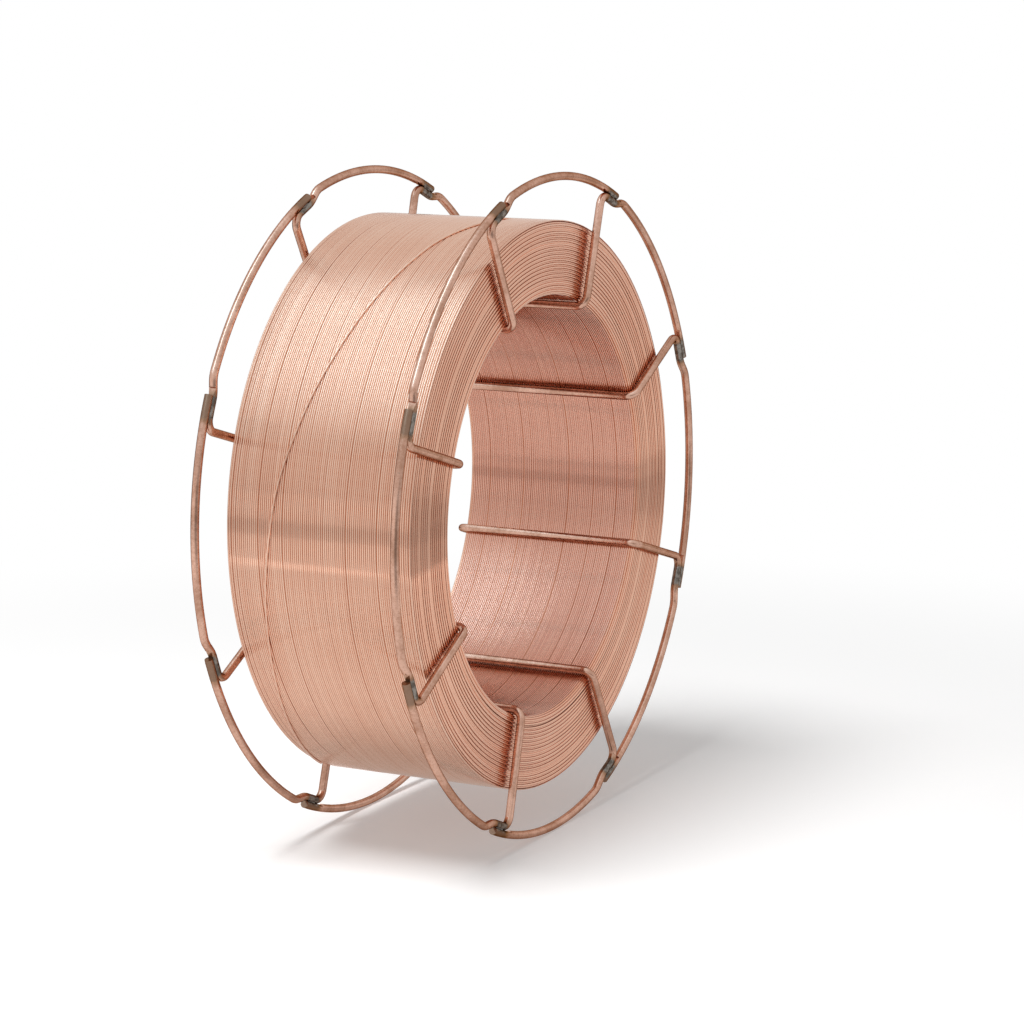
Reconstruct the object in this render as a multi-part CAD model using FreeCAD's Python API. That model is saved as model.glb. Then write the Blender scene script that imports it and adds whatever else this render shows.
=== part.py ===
import FreeCAD, Part
import math
import os
from FreeCAD import Vector

# Spool of welding wire on a welded wire basket, in millimetres.
# The spool's axis is Y, +Z is up and the origin is the spool's centre.
# Angles on the spool run from +Z towards +X.

# Basket
BASKET_DIAMETER = 300.0  # over the rims
BASKET_WIDTH = 100.0  # over the two rims
BORE_DIAMETER = 181.5  # circle that fits inside the axial bars
BASKET_WIRE = 3.7  # diameter of the basket's wire
STAVE_COUNT = 8  # bent wires welded into the basket
ARC_FLATTENING = 0.4  # how far an arc's middle lies inside the circle of its ends, from springback
FIRST_WELD_ANGLE = 22.5  # degrees, puts the floor midway between two welds

# Bends of one basket wire
BAR_BEND_RADIUS = 5.0  # centre line, between bar and leg
LEG_BEND_RADIUS = 5.0  # centre line, between leg and rim
LEG_LEAN = 0.6  # how far each leg spreads sideways from bar to rim
LEG_OFFSET = 9.5  # from the weld's middle back to the leg, along the rim
BAR_OFFSET = 4.2  # from the weld's middle back to the bar, along the rim

# Lap welds between neighbouring basket wires
WELD_LENGTH = 10.0  # length of the lap
WELD_SET_DOWN = 0.3  # how far the two wires are pressed into each other
JOG_CLEARANCE = 1.0  # from the cut end to the jog of the wire below it
JOG_LENGTH = 10.0  # run in which that wire climbs to the rim
JOG_EASE = 2.5  # straight run given up to each rounded corner of the jog

# Wound welding wire
WINDING_DIAMETER = 256.5
WINDING_CLEARANCE = 0.3  # between the winding and the basket's wire
TURN_WIRE = 1.0  # diameter of the welding wire
RING_DEPTH = 0.4  # groove between two rings on the winding's ends
OUTER_EDGE_RADIUS = 1.2  # where the winding's outer layers stop short of its ends

WIRE_RADIUS = BASKET_WIRE / 2
RIM_RADIUS = BASKET_DIAMETER / 2 - WIRE_RADIUS
RIM_Y = BASKET_WIDTH / 2 - WIRE_RADIUS
BAR_RADIUS = BORE_DIAMETER / 2 + WIRE_RADIUS
BAR_HEIGHT = math.sqrt(BAR_RADIUS**2 - BAR_OFFSET**2)
LEG_FOOT_Y = RIM_Y - LEG_LEAN
LAP_SPACING = BASKET_WIRE - WELD_SET_DOWN
LAP_RADIUS = RIM_RADIUS - LAP_SPACING
WELD_PLANE = RIM_RADIUS - LAP_SPACING / 2
STAVE_ANGLE = 360.0 / STAVE_COUNT
WINDING_INNER_RADIUS = BAR_RADIUS + WIRE_RADIUS + WINDING_CLEARANCE
WINDING_HALF_WIDTH = LEG_FOOT_Y - WIRE_RADIUS - WINDING_CLEARANCE
WINDING_EDGE_RADIUS = BAR_BEND_RADIUS - WIRE_RADIUS - WINDING_CLEARANCE
RING_PITCH = math.sqrt(3) * TURN_WIRE

AXIS = Vector(0, 1, 0)
CENTRE = Vector(0, 0, 0)


def export(shape, name):
    shape.exportStep(os.path.join("parts", name + ".step"))


def on_rim(angle, y, inset=0.0):
    """Point of the rim's centre line at an angle past the weld's middle."""
    turn = math.radians(angle)
    radius = RIM_RADIUS - inset
    return Vector(radius * math.sin(turn), y, radius * math.cos(turn))


def unit(vector):
    return vector / vector.Length


def rounded_corner(before, at, after, reach):
    """Arc that rounds a corner, touching both runs at a reach from it."""
    start = at - unit(at - before) * reach
    end = at + unit(after - at) * reach
    turn = (at - before).getAngle(after - at)
    radius = reach / math.tan(turn / 2)
    inward = unit((start + end) / 2 - at)
    middle = at + inward * (radius / math.cos(turn / 2) - radius)
    return start, end, Part.Arc(start, middle, end).toShape()


def reach_for_radius(before, at, after, radius):
    turn = (at - before).getAngle(after - at)
    return radius * math.tan(turn / 2)


def rim_arc(start_angle, end_angle):
    middle = on_rim((start_angle + end_angle) / 2, -RIM_Y, ARC_FLATTENING)
    return Part.Arc(on_rim(start_angle, -RIM_Y), middle, on_rim(end_angle, -RIM_Y))


def stave_side():
    """Edges from the middle of the bar out to the cut end, on the -Y side."""
    middle = Vector(-BAR_OFFSET, 0, BAR_HEIGHT)
    foot = Vector(-BAR_OFFSET, -LEG_FOOT_Y, BAR_HEIGHT)
    head = Vector(-LEG_OFFSET, -RIM_Y, LAP_RADIUS)
    jog_start = Vector(WELD_LENGTH / 2 + JOG_CLEARANCE, -RIM_Y, LAP_RADIUS)
    arc_start_angle = math.degrees((jog_start.x + JOG_LENGTH) / RIM_RADIUS)
    arc_end_angle = STAVE_ANGLE + math.degrees(WELD_LENGTH / 2 / RIM_RADIUS)
    arc = rim_arc(arc_start_angle, arc_end_angle)
    arc_direction = unit(arc.tangent(arc.FirstParameter)[0])
    jog_end = arc.StartPoint - arc_direction * JOG_EASE

    runs = [middle, foot, head, jog_start, jog_end, arc.StartPoint]
    reaches = [
        reach_for_radius(middle, foot, head, BAR_BEND_RADIUS),
        reach_for_radius(foot, head, jog_start, LEG_BEND_RADIUS),
        JOG_EASE,
        JOG_EASE,
    ]
    edges = []
    here = middle
    for index, reach in enumerate(reaches, start=1):
        start, end, bend = rounded_corner(runs[index - 1], runs[index], runs[index + 1], reach)
        edges.append(Part.LineSegment(here, start).toShape())
        edges.append(bend)
        here = end
    edges.append(arc.toShape())
    return edges


def sweep_wire(edges, start, direction):
    path = Part.Wire(edges)
    section = Part.Wire([Part.makeCircle(WIRE_RADIUS, start, direction)])
    return path.makePipeShell([section], True, False)


def weld_flat(outer_wire):
    """Block that trims a wire back to the flat where two wires are fused."""
    size = BASKET_WIRE * 2
    length = WELD_LENGTH + LEG_OFFSET
    bottom = WELD_PLANE - size if outer_wire else WELD_PLANE
    corner_point = Vector(-length / 2 - JOG_CLEARANCE, -RIM_Y - size / 2, bottom)
    return Part.makeBox(length, size, size, corner_point)


def make_stave():
    """One bent wire, with its own lap at angle 0 and its cut ends one stave on."""
    half = sweep_wire(stave_side(), Vector(-BAR_OFFSET, 0, BAR_HEIGHT), AXIS)
    inner_flat = weld_flat(outer_wire=False)
    outer_flat = weld_flat(outer_wire=True)
    outer_flat.rotate(CENTRE, AXIS, STAVE_ANGLE)
    half = half.cut(inner_flat).cut(outer_flat)
    other_half = half.mirror(CENTRE, AXIS)
    return half.fuse(other_half).removeSplitter().Solids[0]


def quarter_arc(centre_radius, centre_y, edge_radius, radial_sign, side):
    """Quarter circle that rounds one edge of the winding's section."""
    slant = edge_radius * math.sqrt(0.5)
    return Part.Arc(
        Vector(centre_radius + radial_sign * edge_radius, centre_y, 0),
        Vector(centre_radius + radial_sign * slant, centre_y + side * slant, 0),
        Vector(centre_radius, centre_y + side * edge_radius, 0),
    ).toShape()


def make_winding():
    """The wound wire as one turned solid, with a ring for each pair of layers on its ends."""
    outer_radius = WINDING_DIAMETER / 2
    groove = WINDING_HALF_WIDTH - RING_DEPTH
    first_ring = WINDING_INNER_RADIUS + WINDING_EDGE_RADIUS
    last_ring = outer_radius - OUTER_EDGE_RADIUS
    ring_count = round((last_ring - first_ring) / RING_PITCH)
    pitch = (last_ring - first_ring) / ring_count
    bore_end = groove - WINDING_EDGE_RADIUS
    outside_end = groove - OUTER_EDGE_RADIUS
    edges = []
    for side in (-1, 1):
        edges.append(quarter_arc(first_ring, side * bore_end, WINDING_EDGE_RADIUS, -1, side))
        edges.append(quarter_arc(last_ring, side * outside_end, OUTER_EDGE_RADIUS, 1, side))
        for ring in range(ring_count):
            inner = first_ring + ring * pitch
            edges.append(Part.Arc(
                Vector(inner, side * groove, 0),
                Vector(inner + pitch / 2, side * WINDING_HALF_WIDTH, 0),
                Vector(inner + pitch, side * groove, 0),
            ).toShape())
    for radius, end in ((WINDING_INNER_RADIUS, bore_end), (outer_radius, outside_end)):
        edges.append(Part.LineSegment(Vector(radius, -end, 0), Vector(radius, end, 0)).toShape())
    outline = Part.Wire(Part.__sortEdges__(edges))
    return Part.Face(outline).revolve(CENTRE, AXIS, 360)


os.makedirs("parts", exist_ok=True)
export(make_winding(), "wire_coil")
stave = make_stave()
for number in range(STAVE_COUNT):
    placed = stave.copy()
    placed.rotate(CENTRE, AXIS, FIRST_WELD_ANGLE + number * STAVE_ANGLE)
    export(placed, "basket_wire_%d" % (number + 1))
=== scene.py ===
import math
import random

import bpy
from mathutils import Matrix, Vector


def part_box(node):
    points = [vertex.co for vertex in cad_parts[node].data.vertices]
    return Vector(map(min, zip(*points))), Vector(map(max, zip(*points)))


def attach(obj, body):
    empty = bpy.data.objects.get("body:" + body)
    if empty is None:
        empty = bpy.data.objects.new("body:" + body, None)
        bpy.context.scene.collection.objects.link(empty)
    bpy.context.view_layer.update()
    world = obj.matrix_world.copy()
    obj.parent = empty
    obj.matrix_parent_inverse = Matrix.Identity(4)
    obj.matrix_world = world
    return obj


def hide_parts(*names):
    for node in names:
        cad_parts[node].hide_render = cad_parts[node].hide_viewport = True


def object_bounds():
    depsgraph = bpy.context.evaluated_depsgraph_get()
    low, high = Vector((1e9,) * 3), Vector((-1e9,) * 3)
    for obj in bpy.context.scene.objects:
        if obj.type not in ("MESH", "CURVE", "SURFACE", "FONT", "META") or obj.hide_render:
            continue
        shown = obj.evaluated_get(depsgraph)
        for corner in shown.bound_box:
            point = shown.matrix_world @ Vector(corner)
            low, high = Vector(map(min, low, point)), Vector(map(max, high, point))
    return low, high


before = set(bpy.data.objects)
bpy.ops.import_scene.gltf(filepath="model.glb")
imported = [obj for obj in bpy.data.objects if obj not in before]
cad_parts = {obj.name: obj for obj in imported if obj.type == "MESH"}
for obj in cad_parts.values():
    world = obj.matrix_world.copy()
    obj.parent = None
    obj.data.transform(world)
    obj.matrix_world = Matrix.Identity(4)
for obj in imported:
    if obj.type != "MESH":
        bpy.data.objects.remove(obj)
cad_box = [list(corner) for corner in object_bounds()]

MM = 0.001
TAU = math.tau

# The winding, from the CAD coil's box and the wire's own size, in millimetres.
coil_low, coil_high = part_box("wire_coil")
COIL_RADIUS = coil_high[0] / MM
COIL_HALF_WIDTH = coil_high[1] / MM
COIL_BORE = 94.75
BORE_EDGE = 2.85                # radius of the rounding at the bore's ends
OUTER_EDGE = 1.2                # radius of the rounding at the outer corners
WIRE = 0.5                      # radius of the welding wire
LAYERS = 35                     # layers above the rounded bore edge
RECESS = 0.42                   # every second layer ends this much further in
TURN_SIDES = 6
SEGMENTS = 150
STEP_OVER = 0.55                # the angle, in radians, in which a turn moves over to the next place

# The basket's welds, in degrees and millimetres.
WELD_COUNT = 8
WELD_FIRST = 22.5
WELD_STEP = 45.0
RIM_Y = 48.15
WELD_RADIUS = 146.45


# ---------------------------------------------------------------- geometry
def at(radius, y, turn):
    """A point in metres from a radius and a width in mm, and an angle from +Z towards +X."""
    return Vector((radius * math.sin(turn), y, radius * math.cos(turn))) * MM


def new_piece(name, points, faces, flat=(), material=None):
    mesh = bpy.data.meshes.new(name)
    mesh.from_pydata([tuple(p) for p in points], [], faces)
    mesh.polygons.foreach_set("use_smooth", [True] * len(faces))
    for index in flat:
        mesh.polygons[index].use_smooth = False
    mesh.update()
    piece = bpy.data.objects.new(name, mesh)
    bpy.context.collection.objects.link(piece)
    if material:
        mesh.materials.append(material)
    return piece


def waver(seed, strength, waves=(1, 2, 3, 5, 8)):
    """A smooth closed wobble round the winding."""
    draw = random.Random(seed)
    parts = [(n, draw.uniform(0, TAU), draw.uniform(0.4, 1.0) / math.sqrt(n)) for n in waves]
    total = sum(p[2] for p in parts)
    return lambda turn: strength * sum(a * math.sin(n * turn + p) for n, p, a in parts) / total


def strand(points, faces, flat, path, facing, closed, span=180.0, sides=TURN_SIDES):
    """Lays one wire along path(step), showing the side that faces along facing.

    path gives (radius, y, turn); facing is an angle in the radial section: 0 outwards, 90 towards +Y.
    """
    start = len(points)
    ring = sides + 1
    steps = len(path)
    for radius, y, turn in path:
        for side in range(ring):
            lean = math.radians(facing - span / 2 + span * side / sides)
            points.append(at(radius + WIRE * math.cos(lean), y + WIRE * math.sin(lean), turn))
    for step in range(steps if closed else steps - 1):
        here = start + step * ring
        there = start + (step + 1) % steps * ring
        for side in range(sides):
            faces.append((here + side, here + side + 1, there + side + 1, there + side))
        flat.append(len(faces))
        faces.append((here + sides, here, there, there + sides))
    if not closed:
        flat.append(len(faces))
        faces.append(tuple(start + side for side in reversed(range(ring))))
        flat.append(len(faces))
        last = start + (steps - 1) * ring
        faces.append(tuple(last + side for side in range(ring)))


def smooth(value):
    value = min(1.0, max(0.0, value))
    return value * value * (3 - 2 * value)


def layer_edge(radius):
    """How far out along the axis a layer's last turn reaches, in mm."""
    inner = COIL_BORE + BORE_EDGE
    outer = COIL_RADIUS - OUTER_EDGE
    if radius < inner:
        reach = BORE_EDGE - WIRE
        return COIL_HALF_WIDTH - BORE_EDGE + math.sqrt(max(0.0, reach ** 2 - (inner - radius) ** 2))
    if radius > outer:
        reach = OUTER_EDGE - WIRE
        return COIL_HALF_WIDTH - OUTER_EDGE + math.sqrt(max(0.0, reach ** 2 - (radius - outer) ** 2))
    return COIL_HALF_WIDTH - WIRE


def cylinder_turns(name, radius, reach, gaps, facing, seed, material, crossing):
    """The turns of one layer as a single wire, stepping over by one turn at the crossing angle."""
    draw = random.Random(seed)
    count = int(2 * reach / (2 * WIRE + 0.004))
    widths = [1.0] * count
    for place, extra in gaps:
        widths[min(count - 1, int((place + reach) / (2 * reach) * count))] += extra
    widths = [w + draw.uniform(0, 0.03) for w in widths]
    scale = 2 * reach / sum(widths)
    places = [-reach]
    for width in widths:
        places.append(places[-1] + width * scale)
    points, faces, flat = [], [], []
    common = waver(seed, 0.10)
    path = []
    for number in range(count + 1):
        own = waver(seed * 1000 + number, 0.02)
        lift = draw.uniform(-0.02, 0.02)
        for step in range(SEGMENTS):
            turn = crossing + TAU * step / SEGMENTS
            over = smooth((TAU * step / SEGMENTS - (TAU - STEP_OVER)) / STEP_OVER)
            y = places[number] + (places[min(number + 1, count)] - places[number]) * over
            free = min(1.0, (reach - abs(y)) / 4)
            path.append((radius + lift + own(turn + 2), y + free * (common(turn) + own(turn)), turn))
    strand(points, faces, flat, path, facing, False)
    return new_piece(name, points, faces, flat, material)


def end_layers():
    """The last turn of each layer: (radius, width, facing, span).

    They go round the bore's edge and then straight up the flank.
    """
    rings = []
    reach = BORE_EDGE - WIRE
    for step in (1, 2, 3):
        lean = 2 * WIRE / reach * step
        radius = COIL_BORE + BORE_EDGE - reach * math.cos(lean)
        width = COIL_HALF_WIDTH - BORE_EDGE + reach * math.sin(lean)
        rings.append((radius, width, 180 - math.degrees(lean), 220.0))
    first, last = COIL_BORE + BORE_EDGE + 0.12, COIL_RADIUS - OUTER_EDGE - 0.15
    for layer in range(LAYERS):
        radius = first + (last - first) * layer / (LAYERS - 1)
        back = 0.0 if layer % 2 else RECESS
        rings.append((radius, COIL_HALF_WIDTH - WIRE - back, 90.0, 180.0))
    return rings


def flank_turns(name, side, seed, sunk, material):
    """The last turn of every layer, as seen from the end: every second layer stands out.

    sunk lists where a layer sits deeper: (layer, middle and width in degrees, depth in mm).
    """
    draw = random.Random(seed)
    points, faces, flat = [], [], []
    common = waver(seed, 0.12, (1, 2, 3, 4, 6, 9))
    rings = end_layers()
    for layer, (radius, reach, facing, span) in enumerate(rings):
        back = draw.uniform(0, 0.04)
        own = waver(seed * 100 + layer, 0.04, (1, 2, 3, 5))
        dips = [spot[1:] for spot in sunk if spot[0] == layer]
        held = min(1.0, max(0, layer - 2) / 3, (len(rings) - 1 - layer) / 2)
        path = []
        for step in range(SEGMENTS):
            turn = TAU * step / SEGMENTS
            dip = 0.0
            for middle, width, depth in dips:
                away = abs((turn - math.radians(middle) + math.pi) % TAU - math.pi)
                dip += depth * smooth(1.0 - (math.degrees(away) - width / 2) / 25)
            wobble = held * (common(turn) + own(turn))
            path.append((radius + wobble, side * (reach - held * (back + dip)), turn))
        strand(points, faces, flat, path, facing * side, True, span)
    return new_piece(name, points, faces, flat, material)


def turned_ring(name, sunk, sunk_end, material):
    """The layers below: one turned ring that closes the grooves between the turns that show."""
    curve = BORE_EDGE - sunk
    end = []
    for step in range(7):
        lean = math.radians(10 * step)
        radius = COIL_BORE + BORE_EDGE - curve * math.cos(lean)
        end.append((radius, COIL_HALF_WIDTH - BORE_EDGE + curve * math.sin(lean)))
    end.append((COIL_BORE + BORE_EDGE - 0.4, COIL_HALF_WIDTH - sunk_end))
    end.append((COIL_RADIUS - OUTER_EDGE, COIL_HALF_WIDTH - sunk_end))
    end.append((COIL_RADIUS - sunk, COIL_HALF_WIDTH - OUTER_EDGE - 0.2))
    corners = [(radius, -reach) for radius, reach in end]
    corners += [(radius, reach) for radius, reach in reversed(end)]
    points, faces = [], []
    for step in range(SEGMENTS):
        for radius, y in corners:
            points.append(at(radius, y, TAU * step / SEGMENTS))
    around = len(corners)
    for step in range(SEGMENTS):
        here, there = step * around, (step + 1) % SEGMENTS * around
        for side in range(around):
            following = (side + 1) % around
            faces.append((here + side, here + following, there + following, there + side))
    return new_piece(name, points, faces, range(len(faces)), material)


def tube(name, path, radius, material, sides=10):
    """A round wire through the points of path, in metres, with closed ends."""
    points, faces = [], []
    normal = None
    for index, point in enumerate(path):
        before = path[max(0, index - 1)]
        after = path[min(len(path) - 1, index + 1)]
        along = (after - before).normalized()
        if normal is None:
            normal = along.orthogonal().normalized()
        normal = (normal - along * normal.dot(along)).normalized()
        across = along.cross(normal)
        for side in range(sides):
            lean = TAU * side / sides
            points.append(point + (normal * math.cos(lean) + across * math.sin(lean)) * radius)
    for index in range(len(path) - 1):
        here, there = index * sides, (index + 1) * sides
        for side in range(sides):
            following = (side + 1) % sides
            faces.append((here + side, here + following, there + following, there + side))
    caps = [len(faces), len(faces) + 1]
    faces.append(tuple(reversed(range(sides))))
    faces.append(tuple(range((len(path) - 1) * sides, len(path) * sides)))
    return new_piece(name, points, faces, caps, material)


def weld_flash(name, side, material):
    """The metal squeezed out of one rim's resistance welds, in the notch between the two wires."""
    draw = random.Random(40 + side)
    points, faces = [], []
    around, rows = 20, 16
    thick, wide = 0.80, 1.30
    for number in range(WELD_COUNT):
        turn = math.radians(WELD_FIRST + WELD_STEP * number)
        middle = at(WELD_RADIUS, side * RIM_Y, turn)
        outward = Vector((math.sin(turn), 0, math.cos(turn)))
        along = Vector((math.cos(turn), 0, -math.sin(turn)))
        axis = Vector((0, 1, 0))
        length = draw.uniform(3.6, 4.6)
        shift = draw.uniform(-0.5, 0.5)
        lumps = [(draw.uniform(0, TAU), draw.uniform(1, 4), draw.uniform(0.03, 0.10)) for _ in range(5)]
        start = len(points)
        for row in range(rows + 1):
            spread = math.pi * row / rows
            for place in range(around):
                lean = TAU * place / around
                lump = 1 + sum(s * math.sin(f * spread * 2 + p + lean) for p, f, s in lumps)
                size = math.sin(spread) ** 0.6 if 0 < row < rows else 0.0
                points.append(
                    middle
                    + along * (-(math.cos(spread)) * length + shift) * MM
                    + outward * math.cos(lean) * size * lump * thick * MM
                    + axis * math.sin(lean) * size * lump * wide * MM
                )
        for row in range(rows):
            for place in range(around):
                following = (place + 1) % around
                here, there = start + row * around, start + (row + 1) * around
                quad = (here + place, here + following, there + following, there + place)
                if row == 0:
                    quad = (start, there + following, there + place)
                if row == rows - 1:
                    quad = (here + place, here + following, there)
                faces.append(quad)
    return new_piece(name, points, faces, (), material)


# ---------------------------------------------------------------- materials
class Nodes:
    """A short way to write a node tree."""

    def __init__(self, tree):
        self.tree = tree

    def add(self, kind, **settings):
        node = self.tree.nodes.new(kind)
        for key, value in settings.items():
            setattr(node, key, value)
        return node

    def link(self, source, target):
        self.tree.links.new(source, target)

    def put(self, value, socket):
        """Sets a socket to a number, or links it to another node's output."""
        if isinstance(value, (int, float)):
            socket.default_value = value
        else:
            self.link(value, socket)

    def math(self, operation, first, second=None, clamp=False):
        node = self.add("ShaderNodeMath", operation=operation, use_clamp=clamp)
        for socket, value in zip(node.inputs, (first, second)):
            if value is not None:
                self.put(value, socket)
        return node.outputs[0]

    def plus(self, first, second):
        return self.math("ADD", first, second)

    def times(self, first, second):
        return self.math("MULTIPLY", first, second)

    def rest(self, value):
        """What is left of one."""
        return self.math("SUBTRACT", 1.0, value)

    def steps(self, value, low, high):
        node = self.add("ShaderNodeMapRange", interpolation_type="SMOOTHSTEP")
        self.link(value, node.inputs["Value"])
        node.inputs["From Min"].default_value = low
        node.inputs["From Max"].default_value = high
        return node.outputs["Result"]

    def noise(self, vector, scale, detail=3.0, roughness=0.5):
        node = self.add("ShaderNodeTexNoise")
        self.link(vector, node.inputs["Vector"])
        node.inputs["Scale"].default_value = scale
        node.inputs["Detail"].default_value = detail
        node.inputs["Roughness"].default_value = roughness
        return node.outputs["Fac"]

    def mix(self, factor, first, second):
        node = self.add("ShaderNodeMix", data_type="RGBA")
        self.link(factor, node.inputs["Factor"])
        for name, value in (("A", first), ("B", second)):
            socket = [s for s in node.inputs if s.name == name and s.type == "RGBA"][0]
            if isinstance(value, tuple):
                socket.default_value = (*value, 1.0)
            else:
                self.link(value, socket)
        return [s for s in node.outputs if s.type == "RGBA"][0]

    def split(self, vector):
        node = self.add("ShaderNodeSeparateXYZ")
        self.link(vector, node.inputs[0])
        return node.outputs

    def vector(self, x, y, z):
        node = self.add("ShaderNodeCombineXYZ")
        for socket, value in zip(node.inputs, (x, y, z)):
            self.put(value, socket)
        return node.outputs[0]

    def length(self, x, y):
        return self.math("SQRT", self.plus(self.times(x, x), self.times(y, y)))

    def along(self, x, y, direction):
        """How far (x, y) points along a level direction."""
        return self.plus(self.times(x, direction[0]), self.times(y, direction[1]))

    def blend(self, factor, first, second):
        """A mix of two shaders."""
        node = self.add("ShaderNodeMixShader")
        self.put(factor, node.inputs[0])
        self.link(first, node.inputs[1])
        self.link(second, node.inputs[2])
        return node.outputs[0]

    def together(self, first, second):
        """The sum of two shaders."""
        node = self.add("ShaderNodeAddShader")
        self.link(first, node.inputs[0])
        self.link(second, node.inputs[1])
        return node.outputs[0]

    def glow(self, strength):
        node = self.add("ShaderNodeEmission")
        self.put(strength, node.inputs["Strength"])
        return node.outputs[0]

    def background(self, strength, colour=(1.0, 1.0, 1.0)):
        node = self.add("ShaderNodeBackground")
        node.inputs["Color"].default_value = (*colour, 1)
        self.put(strength, node.inputs["Strength"])
        return node.outputs[0]


class Surface(Nodes):
    """The nodes of one material, round its Principled shader."""

    def __init__(self, name):
        self.material = bpy.data.materials.new(name)
        self.material.use_nodes = True
        super().__init__(self.material.node_tree)
        self.shader = self.tree.nodes["Principled BSDF"]
        self.output = self.tree.nodes["Material Output"]

    def place(self):
        """The position in the object's own frame, whole and as x, y and z, in metres."""
        coords = self.add("ShaderNodeTexCoord").outputs["Object"]
        return coords, *self.split(coords)

    def bump(self, height, strength, distance):
        node = self.add("ShaderNodeBump")
        node.inputs["Strength"].default_value = strength
        node.inputs["Distance"].default_value = distance
        self.link(height, node.inputs["Height"])
        self.link(node.outputs["Normal"], self.shader.inputs["Normal"])

    def feed(self, name, value):
        self.link(value, self.shader.inputs[name])

    def set(self, **values):
        for key, value in values.items():
            self.shader.inputs[key.replace("_", " ")].default_value = value


# Noise that changes by one cell from turn to turn, and slowly along each turn.
CELLS_ALONG_RADIUS = 1150.0
CELLS_ALONG_WIDTH = 1000.0
CELLS_AROUND = 0.9


def copper_turns(name, light, deep, rough):
    """Bright copper-coated welding wire: each turn a little different, with soft blotches along it."""
    m = Surface(name)
    coords, x, y, z = m.place()
    radius = m.length(x, z)
    angle = m.math("ARCTAN2", x, z)
    by_turn = m.vector(
        m.plus(m.times(m.math("SINE", angle), CELLS_AROUND), m.times(radius, CELLS_ALONG_RADIUS)),
        m.times(y, CELLS_ALONG_WIDTH),
        m.times(m.math("COSINE", angle), CELLS_AROUND),
    )
    turn_tone = m.noise(by_turn, 1.0, 1.0)
    blotch = m.noise(coords, 26.0, 4.0, 0.55)
    fine = m.noise(coords, 900.0, 2.0, 0.6)
    tone = m.plus(m.plus(m.times(turn_tone, 0.55), m.times(blotch, 0.30)), m.times(fine, 0.15))
    m.feed("Base Color", m.mix(m.steps(tone, 0.34, 0.66), deep, light))
    m.feed("Roughness", m.plus(m.times(tone, -0.10), rough + 0.05))
    m.set(Metallic=1.0)
    m.bump(fine, 0.03, 0.00004)
    return m.material


def basket_copper(name):
    """Thicker drawn wire with a dull copper coat, worn in specks, and tinted by heat round the welds."""
    m = Surface(name)
    coords, x, y, z = m.place()
    radius = m.length(x, z)
    width = m.math("ABSOLUTE", y)
    speck = m.noise(coords, 700.0, 3.0, 0.65)
    tone = m.plus(m.times(m.noise(coords, 60.0, 4.0, 0.6), 0.6), m.times(speck, 0.4))
    copper = m.mix(m.steps(tone, 0.36, 0.64), (0.50, 0.27, 0.185), (0.80, 0.49, 0.375))
    copper = m.mix(m.times(m.steps(speck, 0.60, 0.72), 0.5), copper, (0.20, 0.12, 0.085))

    # How far along the rim the nearest weld is, in mm, with a ragged edge.
    turns = m.math("DIVIDE", m.math("ARCTAN2", x, z), TAU)
    sector = m.math("SUBTRACT", m.times(turns, WELD_COUNT), WELD_FIRST / WELD_STEP)
    near = m.math("SUBTRACT", sector, m.math("ROUND", sector))
    away = m.times(m.math("ABSOLUTE", near), TAU / WELD_COUNT * WELD_RADIUS)
    ragged = m.times(m.math("SUBTRACT", m.noise(coords, 420.0, 3.0, 0.6), 0.5), 4.0)
    away = m.plus(away, ragged)

    on_rim = m.times(m.steps(radius, 0.1405, 0.1420), m.steps(width, 0.0440, 0.0455))
    at_joint = m.times(on_rim, m.rest(m.steps(radius, 0.1472, 0.1482)))
    straw = m.times(m.rest(m.steps(away, 5.5, 9.0)), on_rim)
    burnt = m.times(m.rest(m.steps(away, 4.8, 6.4)), on_rim)
    bare = m.times(m.rest(m.steps(away, 4.2, 5.2)), at_joint)
    scale = m.noise(coords, 420.0, 3.0, 0.55)
    steel = m.mix(m.steps(scale, 0.38, 0.62), (0.13, 0.112, 0.095), (0.30, 0.27, 0.24))
    colour = m.mix(m.times(straw, 0.7), copper, (0.30, 0.165, 0.085))
    colour = m.mix(m.times(burnt, 0.5), colour, (0.175, 0.13, 0.105))
    m.feed("Base Color", m.mix(bare, colour, steel))
    m.feed("Roughness", m.plus(m.plus(m.times(tone, 0.16), 0.10), m.times(bare, 0.08)))
    m.set(Metallic=1.0, Specular_Tint=(0.42, 0.28, 0.22, 1.0))
    m.bump(m.plus(speck, m.times(m.times(scale, bare), 1.5)), 0.25, 0.00010)
    return m.material


def weld_metal(name):
    """Grey, scaled steel squeezed out of a weld."""
    m = Surface(name)
    coords, *_ = m.place()
    scale = m.noise(coords, 500.0, 3.0, 0.6)
    m.feed("Base Color", m.mix(m.steps(scale, 0.40, 0.62), (0.12, 0.105, 0.092), (0.28, 0.255, 0.23)))
    m.feed("Roughness", m.plus(m.times(scale, 0.3), 0.2))
    m.set(Metallic=1.0)
    m.bump(scale, 0.3, 0.00012)
    return m.material


# ---------------------------------------------------------------- the winding
COPPER = copper_turns("copper_wire", (0.88, 0.585, 0.445), (0.81, 0.485, 0.352), 0.08)
# The flank's copy of the same copper is painted redder and a little darker: painted shade and painted
# copper-on-copper reflection between the rings.
COPPER_END_PAINTED_SHADE = copper_turns("copper_wire_end_painted_shade", (0.88, 0.53, 0.385), (0.80, 0.43, 0.295), 0.09)
# The bore's copy of the same copper is painted darker: painted shade inside the bore.
COPPER_BORE_PAINTED_SHADE = copper_turns("copper_wire_bore_painted_shade", (0.84, 0.515, 0.40), (0.77, 0.435, 0.33), 0.09)
# The layers below are the same copper painted much darker and redder: painted shade deep in the grooves
# between the turns.
COPPER_BELOW_PAINTED_SHADE = copper_turns("copper_wire_below_painted_shade", (0.52, 0.19, 0.10), (0.38, 0.125, 0.065), 0.30)
BASKET = basket_copper("basket_copper")
WELD = weld_metal("weld_steel")

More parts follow.
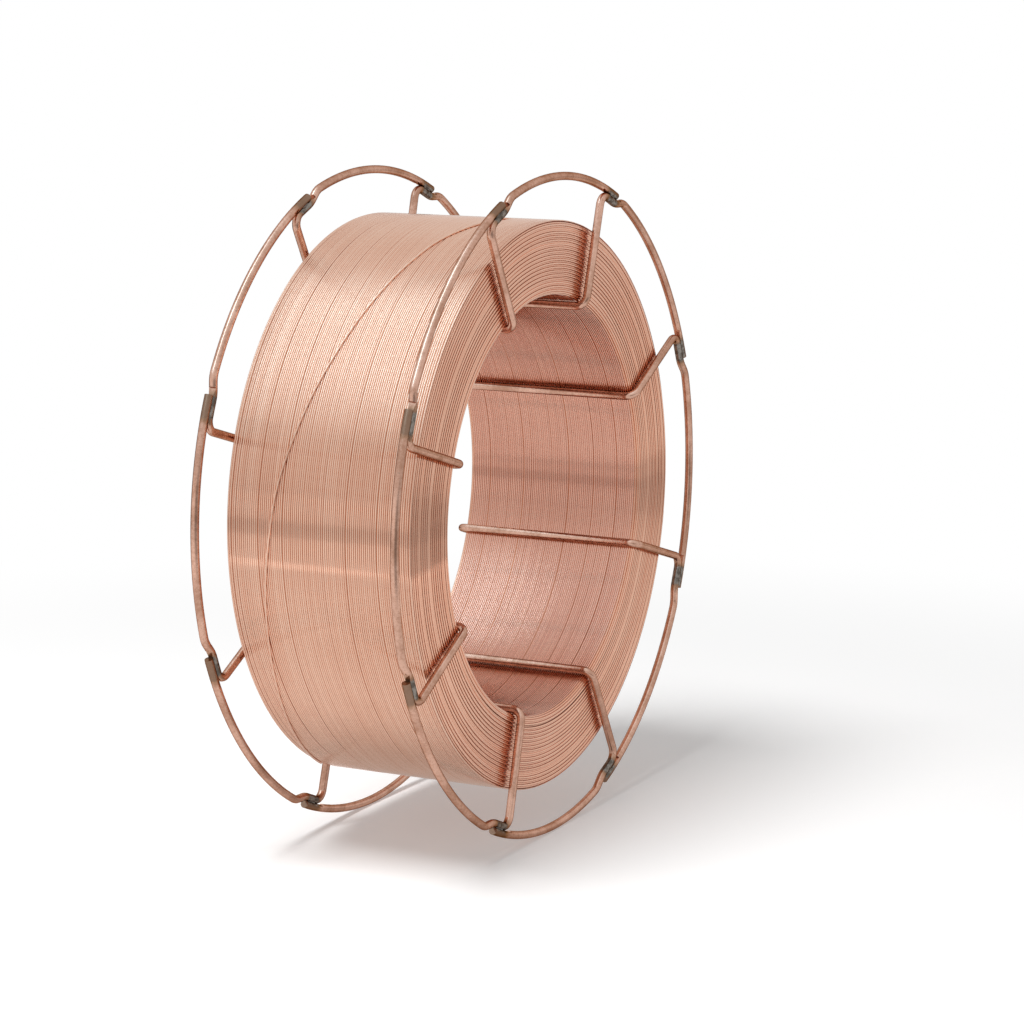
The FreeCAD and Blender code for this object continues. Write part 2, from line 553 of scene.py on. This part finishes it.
# Where turns lie apart: (place across the winding, extra room), in mm.
OUTER_GAPS = [
    (-43.2, 0.22), (-41.3, 0.20), (-38.6, 0.18), (-28.6, 0.34), (-14.0, 0.30), (-3.0, 0.10),
    (7.5, 0.12), (18.0, 0.34), (30.0, 0.36), (36.5, 0.10), (41.0, 0.18), (43.0, 0.30),
]
BORE_GAPS = [
    (-34.0, 0.34), (-27.0, 0.15), (-22.0, 0.30), (-9.0, 0.36), (1.0, 0.15),
    (12.0, 0.15), (16.0, 0.34), (24.0, 0.12), (33.5, 0.3),
]
# Where a layer's last turn sits deeper: (layer, middle and width in degrees, depth in mm).
FRONT_SUNK = [
    (5, 150, 120, 0.2), (6, -60, 160, 0.22), (14, 120, 120, 0.25), (20, -100, 140, 0.3),
    (26, 30, 100, 0.2), (30, -150, 130, 0.3), (34, 70, 150, 0.25),
]
REAR_SUNK = [(8, 60, 120, 0.25), (16, -120, 150, 0.25), (22, 20, 140, 0.3), (32, 150, 130, 0.25)]

outer_radius = COIL_RADIUS - WIRE
bore_radius = COIL_BORE + WIRE
outer = cylinder_turns(
    "winding_outer_turns", outer_radius, layer_edge(outer_radius), OUTER_GAPS, 0.0, 3, COPPER,
    math.radians(100),
)
bore = cylinder_turns(
    "winding_bore_turns", bore_radius, layer_edge(bore_radius), BORE_GAPS, 180.0, 5, COPPER_BORE_PAINTED_SHADE,
    math.radians(20),
)
front = flank_turns("winding_front_turns", -1, 7, FRONT_SUNK, COPPER_END_PAINTED_SHADE)
rear = flank_turns("winding_rear_turns", 1, 9, REAR_SUNK, COPPER_END_PAINTED_SHADE)
below = turned_ring("winding_inner_layers", 0.32, 0.76, COPPER_BELOW_PAINTED_SHADE)

# The wire's end crosses the winding on top of the last layer and is tucked in at the rear edge.
TOP = COIL_RADIUS + 0.38
TAIL_BURIED = 2                 # stations that still lie in the last layer
TAIL_ACROSS = [                 # (angle in degrees, place across in mm)
    (5, -27.0), (1.5, -25.2), (-2, -23.4), (-7.5, -20.5), (-18.4, -12.8), (-30.1, -7.0),
    (-42.1, -0.8), (-52.8, 5.1), (-61.0, 10.0), (-70.7, 15.3), (-79.4, 20.0), (-89.9, 23.6),
    (-98.8, 26.4), (-108.0, 28.8), (-118.7, 31.6), (-134.5, 36.5), (-146.0, 40.5), (-155.0, 43.9),
]
TAIL_TUCKED = [                 # (angle in degrees, place across and radius in mm)
    (-156.6, 45.3, TOP - 0.7),
    (-157.6, 46.0, COIL_RADIUS - 2.5),
    (-158.2, 46.05, COIL_RADIUS - 6),
    (-158.6, 46.05, COIL_RADIUS - 10),
]


def through(stations, count):
    """A smooth run of points through the stations, count to each stretch."""
    result = []
    for index in range(len(stations) - 1):
        a, b, c, d = (
            stations[min(max(index + k, 0), len(stations) - 1)] for k in (-1, 0, 1, 2)
        )
        for step in range(count):
            t = step / count
            result.append(tuple(
                0.5 * (
                    2 * b[n] + (c[n] - a[n]) * t
                    + (2 * a[n] - 5 * b[n] + 4 * c[n] - d[n]) * t * t
                    + (3 * b[n] - a[n] - 3 * c[n] + d[n]) * t ** 3
                )
                for n in range(len(b))
            ))
    result.append(stations[-1])
    return result


run = [
    (angle, width, outer_radius if index < TAIL_BURIED else TOP)
    for index, (angle, width) in enumerate(TAIL_ACROSS)
]
centre_line = [at(r, y, math.radians(a)) for a, y, r in through(run + TAIL_TUCKED, 12)]
tail = tube("wire_end", centre_line, WIRE * MM, COPPER)

for piece in (outer, bore, front, rear, below, tail):
    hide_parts("wire_coil")
    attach(piece, "root")

# ---------------------------------------------------------------- the basket
for name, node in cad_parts.items():
    if name.startswith("basket_wire"):
        node.data.materials.clear()
        node.data.materials.append(BASKET)
        seams = node.modifiers.new("joined_seams", "WELD")
        seams.merge_threshold = 2e-6
        split = node.modifiers.new("sharp_edges", "EDGE_SPLIT")
        split.split_angle = math.radians(60)
        node.modifiers.new("even_normals", "WEIGHTED_NORMAL")
for side, name in ((-1, "weld_metal_front"), (1, "weld_metal_rear")):
    piece = weld_flash(name, side, WELD)
    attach(piece, "root")

# ---------------------------------------------------------------- what the metal reflects
# Distances on the floor are in metres from the spool, and each pair is a soft edge.
TABLE_LIGHT = 0.86              # the table that the spool stands on
TABLE_EDGE = (0.540, 0.555)
EDGE_GLINT = 0.28               # a glint painted at the table's far edge, seen only in the metal
GLINT_START = (0.485, 0.500)
LINE_SHADE = 0.24               # a painted darker line behind the table, seen only in the metal
LINE_START = (1.02, 1.10)
LINE_END = (2.6, 3.2)
# The room at eye level has two pale walls, given by a level direction and how near to it they start.
DARK_SIDE = 0.42
BRIGHT_SIDE = 1.04
LEFT_WALL, LEFT_SPREAD = (-0.90, 0.44), (0.35, 0.95)
FAR_SIDE = 0.78
RIGHT_WALL, RIGHT_SPREAD = (0.89, -0.45), (0.05, 0.55)
# Above it are plain light, a wide glow and a light box. Heights are the sine of the elevation.
SKY_LIGHT = 0.80
SKY_START = (0.10, 0.14)
OVERHEAD = (-0.36, 0.10, 0.90)
OVERHEAD_LIGHT = 0.42
OVERHEAD_SPREAD = (0.55, 1.0)
BOX_LIGHT = 3.6
BOX_Y = 0.24
BOX_SIDES = (0.09, 0.13)
BOX_RISE = (0.45, 0.85)
BOX_END = (-0.15, 0.30)
COOL = (0.62, 1.04, 1.32)
AMBIENT_LIGHT = 0.30            # the soft light on everything that isn't a mirror


def room_light(nodes, x, y):
    """What stands round the table at eye level: a lit wall to the left, a paler one to the right."""
    left = nodes.steps(nodes.along(x, y, LEFT_WALL), *LEFT_SPREAD)
    right = nodes.steps(nodes.along(x, y, RIGHT_WALL), *RIGHT_SPREAD)
    level = nodes.plus(DARK_SIDE, nodes.times(left, BRIGHT_SIDE - DARK_SIDE))
    return nodes.plus(level, nodes.times(right, FAR_SIDE - DARK_SIDE))


# ---------------------------------------------------------------- floor
FLOOR_RADIUS = 60
FLOOR_GLOW = 0.25               # brings the lit floor up to white
VIEW_FADE = (0.27, 0.68)        # the shadow lies inside, and plain white outside
METAL_FADE = (0.30, 0.50)       # the real floor shows in the metal up to here
NEAR_FLOOR_MIX = 0.45

floor_z = cad_box[0][2]
mesh = bpy.data.meshes.new("floor")
rim = [
    (FLOOR_RADIUS * math.cos(TAU * i / 64), FLOOR_RADIUS * math.sin(TAU * i / 64), floor_z)
    for i in range(64)
]
mesh.from_pydata(rim, [], [tuple(range(64))])
floor = bpy.data.objects.new("floor", mesh)
bpy.context.collection.objects.link(floor)

# In view the floor keeps its shadow and fades to white. In the metal it glows with a painted reflection:
# a pale table, a painted glint at its far edge, a painted darker line, and the room beyond.
m = Surface("pale_floor")
coords, x, y, z = m.place()
spread = m.length(x, y)
rays = m.add("ShaderNodeLightPath").outputs
m.set(Base_Color=(0.80, 0.80, 0.80, 1.0), Roughness=0.9, Specular_IOR_Level=0.0)
lit_floor = m.shader.outputs[0]

in_view = m.together(lit_floor, m.glow(FLOOR_GLOW))
in_view = m.blend(m.steps(spread, *VIEW_FADE), in_view, m.glow(1.0))

on_table = m.rest(m.steps(spread, *TABLE_EDGE))
glint = m.times(m.steps(spread, *GLINT_START), on_table)
table = m.plus(TABLE_LIGHT, m.times(glint, EDGE_GLINT))
line = m.times(m.steps(spread, *LINE_START), m.rest(m.steps(spread, *LINE_END)))
room = room_light(m, m.math("DIVIDE", x, spread), m.math("DIVIDE", y, spread))
beyond = m.times(room, m.rest(m.times(line, LINE_SHADE)))
reflected = m.plus(m.times(on_table, table), m.times(m.rest(on_table), beyond))
near = m.blend(NEAR_FLOOR_MIX, lit_floor, m.glow(TABLE_LIGHT))
in_metal = m.blend(m.steps(spread, *METAL_FADE), near, m.glow(reflected))

others = m.blend(rays["Is Glossy Ray"], lit_floor, in_metal)
seen = m.math("ADD", rays["Is Camera Ray"], rays["Is Transmission Ray"], clamp=True)
m.link(m.blend(seen, others, in_view), m.output.inputs["Surface"])
mesh.materials.append(m.material)

# ---------------------------------------------------------------- world
world = bpy.data.worlds.new("studio")
bpy.context.scene.world = world
world.use_nodes = True
w = Nodes(world.node_tree)
w.tree.nodes.clear()
direction = w.add("ShaderNodeTexCoord").outputs["Generated"]
x, y, height = w.split(direction)
level = w.length(x, y)
room = room_light(w, w.math("DIVIDE", x, level), w.math("DIVIDE", y, level))
sky = w.plus(w.times(w.steps(height, *SKY_START), w.math("SUBTRACT", SKY_LIGHT, room)), room)

toward = w.add("ShaderNodeVectorMath", operation="DOT_PRODUCT")
w.link(direction, toward.inputs[0])
toward.inputs[1].default_value = Vector(OVERHEAD).normalized()
glow = w.times(w.steps(toward.outputs["Value"], *OVERHEAD_SPREAD), OVERHEAD_LIGHT)
across = w.math("ABSOLUTE", w.math("SUBTRACT", y, BOX_Y))
box = w.times(w.rest(w.steps(across, *BOX_SIDES)), w.steps(height, *BOX_RISE))
box = w.times(w.times(box, w.rest(w.steps(x, *BOX_END))), BOX_LIGHT)

in_metal = w.together(w.background(sky), w.background(w.plus(glow, box), COOL))
rays = w.add("ShaderNodeLightPath").outputs
around = w.blend(rays["Is Glossy Ray"], w.background(AMBIENT_LIGHT), in_metal)
seen = w.math("MAXIMUM", rays["Is Camera Ray"], rays["Is Transmission Ray"])
surface = w.add("ShaderNodeOutputWorld").inputs["Surface"]
w.link(w.blend(seen, around, w.background(1.0)), surface)

# ---------------------------------------------------------------- lamp
SOFTBOX_PLACE = (-0.56, 0.18, 1.23)
SOFTBOX_SIZE = 0.58
SOFTBOX_POWER = 19.4

lamp_data = bpy.data.lights.new("overhead_softbox", "AREA")
lamp_data.shape = "RECTANGLE"
lamp_data.size = lamp_data.size_y = SOFTBOX_SIZE
lamp_data.energy = SOFTBOX_POWER
lamp = bpy.data.objects.new("overhead_softbox", lamp_data)
bpy.context.collection.objects.link(lamp)
lamp.location = SOFTBOX_PLACE
lamp.rotation_mode = "QUATERNION"
lamp.rotation_quaternion = (-Vector(SOFTBOX_PLACE)).to_track_quat("-Z", "Y")
lamp.visible_glossy = False     # the world has the metal's reflections

# ---------------------------------------------------------------- camera
CAMERA_YAW = math.radians(-62.873)
CAMERA_PITCH = math.radians(10.146)
CAMERA_DISTANCE = 1.4153
CAMERA_ASIDE = 0.02337
CAMERA_BELOW = 0.00626
LENS = 109.1215
SENSOR = 36.0

back = Vector((
    math.sin(CAMERA_YAW) * math.cos(CAMERA_PITCH),
    -math.cos(CAMERA_YAW) * math.cos(CAMERA_PITCH),
    math.sin(CAMERA_PITCH),
))
right = Vector((math.cos(CAMERA_YAW), math.sin(CAMERA_YAW), 0))
up = back.cross(right)
camera_data = bpy.data.cameras.new("camera")
camera = bpy.data.objects.new("camera", camera_data)
bpy.context.collection.objects.link(camera)
camera_data.sensor_width = SENSOR
camera_data.lens = LENS
camera_data.clip_start = 0.05
camera_data.clip_end = 200.0
camera.location = back * CAMERA_DISTANCE + right * CAMERA_ASIDE - up * CAMERA_BELOW
camera.rotation_mode = "QUATERNION"
camera.rotation_quaternion = Matrix((right, up, back)).transposed().to_quaternion()
bpy.context.scene.camera = camera

bpy.context.scene.view_settings.view_transform = "Standard"
